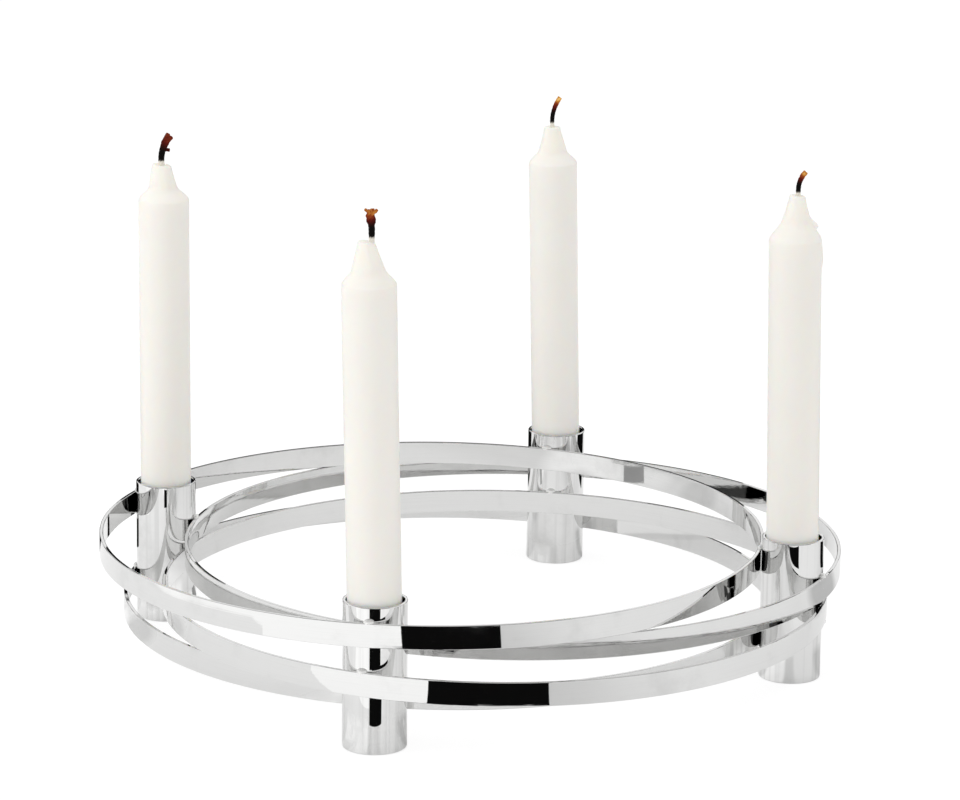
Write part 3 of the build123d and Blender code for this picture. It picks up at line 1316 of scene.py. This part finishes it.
@dataclass
class Studio:
    """Table, cards, painted light and shade on the table, light and camera."""

    azimuth: float = math.radians(15.835)
    elevation: float = math.radians(15.832)
    distance: float = 1.71825
    aim: Vector = field(default_factory=lambda: Vector((0.0, 0.0, 60.0 * MM)))
    pitch: float = math.radians(1.5963)
    yaw: float = math.radians(-0.0866)
    roll: float = math.radians(0.7199)
    lens: float = 149.018
    sensor: float = 36.0
    table_half: float = 3.0
    key_power: float = 3.8
    key_size: float = 0.45
    key_place: Vector = field(default_factory=lambda: Vector((-1.05, -0.75, 0.95)))
    room_level: float = 0.92
    table_tone: float = 0.86
    table_white: float = 0.86
    table_shade: float = 0.2
    mirror_glow: float = 0.14
    wall_stops: tuple[tuple[float, Colour], ...] = (
        (0.0, (0.02, 0.02, 0.022)),
        (0.1, (0.05, 0.05, 0.052)),
        (0.2, (0.95, 0.95, 0.95)),
        (0.55, (1.0, 1.0, 1.0)),
        (0.8, (0.3, 0.3, 0.3)),
    )
    cards: tuple[Card, ...] = (
        Card(
            "card_front",
            (
                (1, -190), (31, -181), (52, -204), (60, -225), (81, -219.5), (100, -212.5), (115, -204.5),
                (131, -230), (143, -248), (164, -276), (145, -289), (131, -297), (131, -306), (70, -345),
                (-8, -354), (-7, -332), (33.5, -331), (32.3, -294.5), (-3, -293.5), (-2, -262.5),
                (15.4, -261.5), (17.6, -229.5), (0, -227),
            ),
        # A white sheet whose extra glow is painted light, making the table in front look brighter in the
        # steel.
        ),
        Card(
            "sheet_front_painted_light",
            (
                (-400, -100), (-400, -700), (200, -700), (60, -224), (20, -226), (0, -212), (-32, -209),
                (-58, -210), (-80, -212), (-98, -216), (-149, -269), (-172, -267), (-210, -233.5),
                (-242.5, -190), (-268, -136), (-290, -100),
            ),
            CardTone.WHITE, level=0.15, extra_glow=0.1,
        ),
        # A grey card that paints a dark patch by the left tube's foot, standing in for the left tube as the
        # top hoop mirrors it: a painted reflection.
        Card("card_painted_left_tube_reflection", ((-128, 10), (-139.5, 30), (-108, 43.5), (-98.5, 29.5)), CardTone.GREY),
        Card("flag_left", ((-128.3, -50), (-120.9, -46.4), (-132.5, -20.3), (-135.4, -20.5)), level=50.0),
        Card("flag_right", ((139.3, -50.1), (166.3, -43.6), (147.9, -14.3)), level=50.0),
        Card("flag_left_edge", ((-179.7, 6), (-222, 25), (-199, 57), (-166, 20)), level=23.0),
        Card("flag_right_edge", ((154.5, 9), (160.5, 5), (192, 32), (171, 46)), level=46.5),
        Card(
            "flag_front_rim", ((8.3, -156.4), (17.5, -169), (30, -166), (26, -156.4)),
            CardTone.WHITE, level=55.6,
        ),
        Card(
            "flag_front_gap", ((8.7, -156.4), (23, -176), (34, -170), (28, -156.4)),
            CardTone.WHITE, level=36.2,
        ),
        Card("wall_back", ((-1400, 610, 1), (-86, 981.3, 1), (-86, 981.3, 328), (-1400, 610, 312))),
        Card(
            "wall_back_high",
            ((-506, 862.6, 354), (-428, 884.7, 344), (-428, 884.7, 361), (-506, 862.6, 377)),
        ),
        Card(
            "card_back_left",
            (
                (-84, 232), (-140, 620), (-620, 420), (-470, 84), (-276, 62), (-272, 120), (-248, 212),
                (-160, 196),
            ),
        ),
        Card("card_back_right", ((80, 242), (128, 224), (210, 204), (480, 460), (150, 560))),
    )
    # Painted light and painted shadow on the table, round the tubes' feet and in a few other places, seen
    # only in the steel's reflections.
    painted_table_patches: tuple[PaintedLightAndShade, ...] = (
        PaintedLightAndShade(
            "painted_light_and_shade_front_foot", FRONT_FOOT, ((BESIDE_TUBE, 1.0), (45.0, 1.0), (60.0, 0.0)),
            glows=(Span(-172.0, -91.0, 0.16),),
            shades=(Span(-89.0, -60.0, 0.09), Span(4.0, 60.0, 0.24, 10.0)),
        ),
        PaintedLightAndShade(
            "painted_light_and_shade_right_foot", RIGHT_FOOT, ((BESIDE_TUBE, 1.0), (45.0, 1.0), (58.0, 0.0)),
            glows=(Span(-150.0, -93.0, 0.24, 4.0),),
            shades=(Span(-91.0, -65.0, 0.14), Span(8.0, 60.0, 0.22, 9.0)),
        ),
        PaintedLightAndShade(
            "painted_light_and_shade_back_foot", BACK_FOOT, ((BESIDE_TUBE, 1.0), (34.0, 1.0), (44.0, 0.0)),
            glows=(Span(-152.0, -91.0, 0.13, 4.0),), shades=(Span(-88.0, -65.0, 0.08),),
        ),
        PaintedLightAndShade(
            "painted_shade_back_side", BACK_FOOT, ((BESIDE_TUBE, 1.0), (57.0, 1.0), (70.0, 0.0)),
            shades=(Span(10.0, 36.0, 0.3, 7.0),), level=0.23,
        ),
        PaintedLightAndShade(
            "painted_light_and_shade_left_foot", LEFT_FOOT, ((BESIDE_TUBE, 1.0), (31.0, 1.0), (38.0, 0.0)),
            glows=(Span(-170.0, -80.0, 0.12, 4.0),), shades=(Span(-78.0, -60.0, 0.14),),
        ),
        PaintedLightAndShade(
            "painted_light_left_inside", LEFT_FOOT, ((BESIDE_TUBE, 1.0), (64.0, 1.0), (80.0, 0.0)),
            glows=(Span(-58.0, -14.0, 0.25, 6.0), Span(36.0, 86.0, 0.12, 4.0)), level=0.24,
        ),
        PaintedLightAndShade(
            "painted_light_left_middle", LEFT_FOOT, ((BESIDE_TUBE, 1.0), (42.0, 1.0), (52.0, 0.0)),
            glows=(Span(-14.0, 35.0, 0.25, 6.0),), level=0.25,
        ),
        PaintedLightAndShade(
            "painted_shade_back_left", (-98, 112), ((0.5, 1.0), (20.0, 1.0), (33.0, 0.0)),
            shades=(Span.all_round(0.15),),
        ),
        PaintedLightAndShade(
            "painted_shade_right_back", (212, 118), ((0.5, 1.0), (30.0, 1.0), (48.0, 0.0)),
            shades=(Span.all_round(0.36),),
        ),
        PaintedLightAndShade(
            "painted_shade_left_front", (-165, -45), ((0.5, 1.0), (14.0, 1.0), (26.0, 0.0)),
            shades=(Span.all_round(0.18),), level=0.26,
        ),
        PaintedLightAndShade(
            "painted_shade_card_edge", (60, -260), ((70.0, 1.0), (110.0, 0.75), (150.0, 0.35), (200.0, 0.0)),
            shades=(Span(-20.0, 62.0, 0.26, 12.0),),
        ),
    )

    def build(self) -> None:
        """Build the studio."""
        self.build_table()
        for card in self.cards:
            card.build(self.mirror_glow)
        # Lay the painted light and painted shade on the table.
        for painted_patch in self.painted_table_patches:
            painted_patch.build()
        self.build_room()
        self.build_key()
        self.build_camera()
        bpy.context.scene.view_settings.view_transform = "Standard"

    def build_table(self) -> None:
        """Build the white table, which keeps a faint shadow."""
        material, tree = bare_material("table_white")
        path = tree.nodes.new("ShaderNodeLightPath").outputs
        calc = partial(math_node, tree)
        mirrored = calc("MAXIMUM", path["Is Glossy Ray"], path["Is Transmission Ray"])
        glow = calc("MULTIPLY", mirrored, self.mirror_glow)
        strength = calc("MAXIMUM", calc("MULTIPLY", path["Is Camera Ray"], self.table_white), glow)
        plain, shaded = diffuse(tree, self.table_tone), diffuse(tree, self.table_shade)
        lit = output_of(tree, "ShaderNodeMixShader", path["Is Camera Ray"], plain, shaded)
        show(tree, output_of(tree, "ShaderNodeAddShader", lit, emission(tree, strength)))
        half = self.table_half
        corners = [(-half, -half, 0.0), (half, -half, 0.0), (half, half, 0.0), (-half, half, 0.0)]
        add_object("table", new_mesh("table", corners, [(0, 1, 2, 3)], material))

    def build_room(self) -> None:
        """Build the plain white room, with a dark wall low down that only mirrors show."""
        world = bpy.data.worlds.new("room")
        bpy.context.scene.world = world
        world.use_nodes = True
        tree = world.node_tree
        tree.nodes.clear()
        background = partial(output_of, tree, "ShaderNodeBackground")
        direction = tree.nodes.new("ShaderNodeTexCoord").outputs["Generated"]
        height = add_node(tree, "ShaderNodeSeparateXYZ", Vector=direction).outputs["Z"]
        fill = background(Color=grey(1.0), Strength=self.room_level)
        white = background(Color=grey(1.0), Strength=1.0)
        studio = background(Color=colour_ramp(tree, height, self.wall_stops), Strength=1.0)
        path = tree.nodes.new("ShaderNodeLightPath").outputs
        plain = output_of(tree, "ShaderNodeMixShader", path["Is Glossy Ray"], fill, studio)
        direct = math_node(tree, "MAXIMUM", path["Is Camera Ray"], path["Is Transmission Ray"])
        chosen = output_of(tree, "ShaderNodeMixShader", direct, plain, white)
        add_node(tree, "ShaderNodeOutputWorld", chosen)

    def build_key(self) -> None:
        """Hang the soft lamp at the left."""
        lamp = bpy.data.lights.new("soft_lamp", "AREA")
        lamp.energy = self.key_power
        lamp.size = self.key_size
        holder = add_object("soft_lamp", lamp)
        holder.location = self.key_place
        holder.rotation_euler = (self.aim - self.key_place).to_track_quat("-Z", "Y").to_euler()
        holder.visible_glossy = False

    def build_camera(self) -> None:
        """Set the camera at the photograph's viewing angle."""
        heading, tilt = self.azimuth + self.yaw, self.elevation - self.pitch
        back = self.towards(self.azimuth, self.elevation)
        forward = -self.towards(heading, tilt)
        level = Vector((math.cos(heading), math.sin(heading), 0.0))
        upright = level.cross(forward)
        right = level * math.cos(self.roll) + upright * math.sin(self.roll)
        up = upright * math.cos(self.roll) - level * math.sin(self.roll)
        camera = bpy.data.cameras.new("camera")
        camera.lens = self.lens
        camera.sensor_width = self.sensor
        camera.sensor_fit = "HORIZONTAL"
        holder = add_object("camera", camera)
        turn = Matrix((right, up, -forward)).transposed().to_4x4()
        holder.matrix_world = Matrix.Translation(self.aim + back * self.distance) @ turn
        bpy.context.scene.camera = holder

    @staticmethod
    def towards(azimuth: float, elevation: float) -> Vector:
        """Return the direction to a viewer at an azimuth from the front and an elevation."""
        flat = math.cos(elevation)
        return Vector((math.sin(azimuth) * flat, -math.cos(azimuth) * flat, math.sin(elevation)))


def main() -> None:
    """Dress the frame and set up the studio."""
    logging.basicConfig(level=logging.INFO, format="%(name)s: %(message)s")
    SteelFrame().build(ROLLED_STEEL.material(), DRAWN_STEEL.material(), WeldMetal().material())
    Candles().build(CandleWax().material(), CharredCotton().material())
    Studio().build()


if __name__ == "__main__":
    main()
